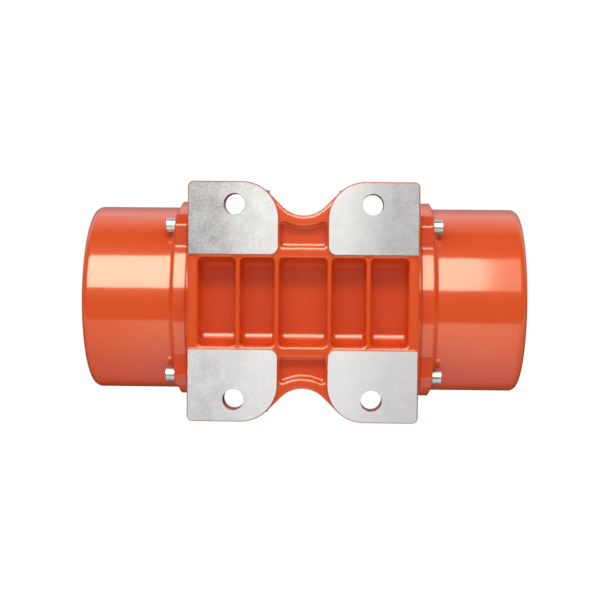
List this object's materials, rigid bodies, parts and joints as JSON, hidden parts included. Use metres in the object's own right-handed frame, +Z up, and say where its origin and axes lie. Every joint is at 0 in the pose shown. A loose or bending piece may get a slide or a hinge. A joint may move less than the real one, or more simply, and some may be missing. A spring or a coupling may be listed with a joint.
{
  "type": "external vibration motor",
  "caption": "Foot-mounted electric vibration motor: ribbed cast housing, four machined feet, eccentric weights under cup covers at both shaft ends.",
  "frame": {"origin": "centre of the foot bolt pattern on the mounting face, which is also the bottom centre of the box", "axes": "+X along the shaft, +Z up from the mounting face towards the terminal box"},
  "size_m": [0.396, 0.21, 0.229],
  "materials": {
    "painted_iron": "gloss orange enamel over cast iron, machined faces left bare",
    "grey_iron": "cast, machined where it fits",
    "zinc_steel": "bright zinc plated",
    "black_steel": "black oxide",
    "turned_steel": "turned and ground",
    "bearing_steel": "ground and polished",
    "spring_steel": "phosphated",
    "laminations": "stacked electrical sheet",
    "cast_aluminium": "pressure die cast",
    "copper_winding": "varnished copper wire",
    "brass": "machined",
    "nickel_brass": "nickel plated",
    "black_rubber": "moulded",
    "dark_plastic": "moulded"
  },
  "bodies": {
    "housing": {"motor_housing": "painted_iron", "stator_core": "laminations", "stator_winding": "copper_winding", "terminal_gasket": "black_rubber", "terminal_cover": "painted_iron", "terminal_cover_screws": "zinc_steel", "terminal_block": "dark_plastic", "terminal_studs": "brass", "earth_screw": "brass", "gland_body": "nickel_brass", "gland_seal": "black_rubber", "gland_nut": "nickel_brass", "left_bearing_flange": "grey_iron", "left_flange_screws": "black_steel", "left_weight_cover": "painted_iron", "left_cover_screws": "zinc_steel", "left_cover_seal": "black_rubber", "left_bearing_outer_ring": "bearing_steel", "left_bearing_circlip": "spring_steel", "left_shaft_seal": "black_rubber", "right_bearing_flange": "grey_iron", "right_flange_screws": "black_steel", "right_weight_cover": "painted_iron", "right_cover_screws": "zinc_steel", "right_cover_seal": "black_rubber", "right_bearing_outer_ring": "bearing_steel", "right_bearing_circlip": "spring_steel", "right_shaft_seal": "black_rubber"},
    "rotor": {"shaft": "turned_steel", "rotor_core": "laminations", "rotor_cage": "cast_aluminium", "left_bearing_inner_ring": "bearing_steel", "left_spacer_ring": "turned_steel", "left_fixed_weight": "grey_iron", "left_weight_key": "turned_steel", "left_fixed_weight_screw": "black_steel", "left_shaft_circlip": "spring_steel", "right_bearing_inner_ring": "bearing_steel", "right_spacer_ring": "turned_steel", "right_fixed_weight": "grey_iron", "right_weight_key": "turned_steel", "right_fixed_weight_screw": "black_steel", "right_shaft_circlip": "spring_steel"},
    "left_adjustable": {"left_adjustable_weight": "grey_iron", "left_adjustable_weight_screw": "black_steel"},
    "left_cage": {"left_bearing_rollers": "bearing_steel", "left_bearing_cage": "brass"},
    "right_adjustable": {"right_adjustable_weight": "grey_iron", "right_adjustable_weight_screw": "black_steel"},
    "right_cage": {"right_bearing_rollers": "bearing_steel", "right_bearing_cage": "brass"}
  },
  "joints": [
    {"name": "rotor_spin", "type": "hinge", "parent": "housing", "child": "rotor", "pos_m": [0, 0, 0.105], "axis": [1, 0, 0], "continuous": true},
    {"name": "left_weight_setting", "type": "hinge", "parent": "rotor", "child": "left_adjustable", "pos_m": [0, 0, 0.105], "axis": [1, 0, 0], "range_deg": [0, 180]},
    {"name": "right_weight_setting", "type": "hinge", "parent": "rotor", "child": "right_adjustable", "pos_m": [0, 0, 0.105], "axis": [1, 0, 0], "range_deg": [0, 180]},
    {"name": "left_cage_spin", "type": "hinge", "parent": "housing", "child": "left_cage", "pos_m": [0, 0, 0.105], "axis": [1, 0, 0], "continuous": true},
    {"name": "right_cage_spin", "type": "hinge", "parent": "housing", "child": "right_cage", "pos_m": [0, 0, 0.105], "axis": [1, 0, 0], "continuous": true}
  ],
  "couplings": [
    {"joint": "left_cage_spin", "follows": "rotor_spin", "ratio": 0.4026},
    {"joint": "right_cage_spin", "follows": "rotor_spin", "ratio": 0.4026}
  ]
}
